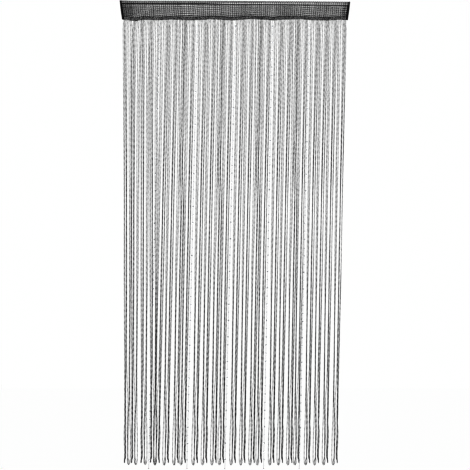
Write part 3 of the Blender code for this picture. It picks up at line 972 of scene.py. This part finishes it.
def cut_bead(half):
    """A faceted bead: rings of eight at six heights, the two middle ones the widest, each band of
    facets flat."""
    profile = np.array(((-1, 0.26), (-0.72, 0.72), (-0.26, 1), (0.26, 1), (0.72, 0.72), (1, 0.26)))
    return turned(profile * half * (BEAD_TALL, 1), BEAD_SIDES)


def build_bead_string(number, top, foot, lower, finishes):
    """A nylon thread from the tape down to its small end bead, and its large and small beads in turn.
    At one place a small bead is left out, and the large ones below it hang half a pitch higher."""
    rng = np.random.default_rng(200 + number)
    start = float(hem_height(top * MM)) - GAP
    count = np.arange(BEAD_COUNT)
    large = FIRST_BEAD - lower * MM - BEAD_PITCH * (count - 0.5 * (count >= CLOSE_BEAD))
    small = np.delete(large, [CLOSE_BEAD - 1, BEAD_COUNT - 1]) - BEAD_PITCH / 2
    last = -LENGTH + SMALL_BEAD
    large = large + rng.uniform(-LARGE_STRAY, LARGE_STRAY, len(large)) * MM
    small = small + rng.uniform(-SMALL_STRAY, SMALL_STRAY, len(small)) * MM
    heights = np.concatenate([large, small, [last]])
    halves = np.concatenate([np.full(len(large), LARGE_BEAD), np.full(len(small) + 1, SMALL_BEAD)])
    halves[:-1] *= rng.uniform(*BEAD_SPREAD, len(halves) - 1)
    places = np.stack(
        [bead_string_x(top, foot, start, heights), np.zeros(len(heights)), heights], axis=-1
    )
    points, faces = cut_bead(1.0)
    turns = rng.uniform(0, 2 * np.pi / BEAD_SIDES, len(heights))
    beads = new_piece(
        f"beads_{number}", *copies(points, faces, places, halves, turns), finishes["bead"], smooth=False
    )
    down = np.linspace(start, last, THREAD_RINGS)
    path = np.stack([bead_string_x(top, foot, start, down), np.zeros(len(down)), down], axis=-1)
    angle = (2 * np.pi * np.arange(THREAD_SIDES) / THREAD_SIDES)[None, :]
    ring = np.stack([np.cos(angle), np.sin(angle), 0 * angle], axis=-1) * THREAD_RADIUS
    rings = (path[:, None, :] + ring).reshape(-1, 3)
    thread = tube_piece(f"bead_thread_{number}", [(rings, start - down)], THREAD_SIDES, finishes["nylon"])
    return [beads, thread]


# ---------------------------------------------------------------- studio


def build_studio():
    """A white sky and a lit white floor just under the curtain's foot, broad soft lights from the front,
    the right and the back, and the level camera at the photograph's angle."""
    scene = bpy.context.scene
    world = bpy.data.worlds.new("white_studio")
    world.use_nodes = True
    background = world.node_tree.nodes["Background"]
    background.inputs["Color"].default_value = (1, 1, 1, 1)
    background.inputs["Strength"].default_value = 1.0
    scene.world = world
    scene.view_settings.view_transform = "Raw"

    # Opal acrylic lit from below, as on a light table: even white with no shadow
    made, _, shader = start_material("opal_light_table")
    shader.inputs["Base Color"].default_value = srgb("#0c0c0c")
    shader.inputs["Roughness"].default_value = 0.9
    shader.inputs["Specular IOR Level"].default_value = 0.0
    shader.inputs["Emission Color"].default_value = (1, 1, 1, 1)
    shader.inputs["Emission Strength"].default_value = 0.99
    corners = FLOOR_HALF * np.array(((-1, -1, 0), (1, -1, 0), (1, 1, 0), (-1, 1, 0)))
    corners[:, 2] = FLOOR_HEIGHT
    floor = new_piece("floor", corners, [np.array([[0, 1, 2, 3]])], made)

    for name, place, aim, size, power in LIGHTS:
        lamp = bpy.data.lights.new(name, "AREA")
        lamp.size = size
        lamp.energy = power
        light = bpy.data.objects.new(name, lamp)
        light.location = place
        direction = np.array(aim) - np.array(place)
        light.rotation_euler = (
            math.pi / 2 + math.atan2(direction[2], math.hypot(direction[0], direction[1])),
            0,
            math.atan2(direction[1], direction[0]) - math.pi / 2,
        )
        scene.collection.objects.link(light)

    lens = bpy.data.cameras.new("camera")
    lens.sensor_width = SENSOR
    lens.lens = SENSOR * CAMERA_DISTANCE / FRAME_WIDTH
    camera = bpy.data.objects.new("camera", lens)
    camera.location = (0, -CAMERA_DISTANCE, FRAME_MIDDLE)
    camera.rotation_euler = (math.pi / 2, 0, 0)
    scene.collection.objects.link(camera)
    scene.camera = camera


# ---------------------------------------------------------------- the curtain


def main():
    """The studio, the finishes and every piece of the curtain."""
    build_studio()
    finishes = make_materials()

    net, net_cloth = build_net(finishes["net"])
    tape, tape_cloth = build_tape(finishes["tape"])
    hand_over(net, "black_mesh", "heading")
    hand_over(tape, "black_yarn", "fringe")
    picots = hand_over(build_picots(finishes["yarn"]), "black_mesh", "heading")
    stitches = hand_over(build_stitches(finishes["sewing"]), "black_mesh", "heading")
    knots = hand_over(build_knots(finishes["yarn"]), "black_yarn", "fringe")
    for piece in build_string_groups(finishes["yarn"]):
        hand_over(piece, "black_yarn", "fringe")
    for number, (top, foot, lower) in enumerate(BEAD_STRINGS, 1):
        for piece in build_bead_string(number, top, foot, lower, finishes):
            hand_over(piece, "clear_beads", f"bead_string_{number}")


main()
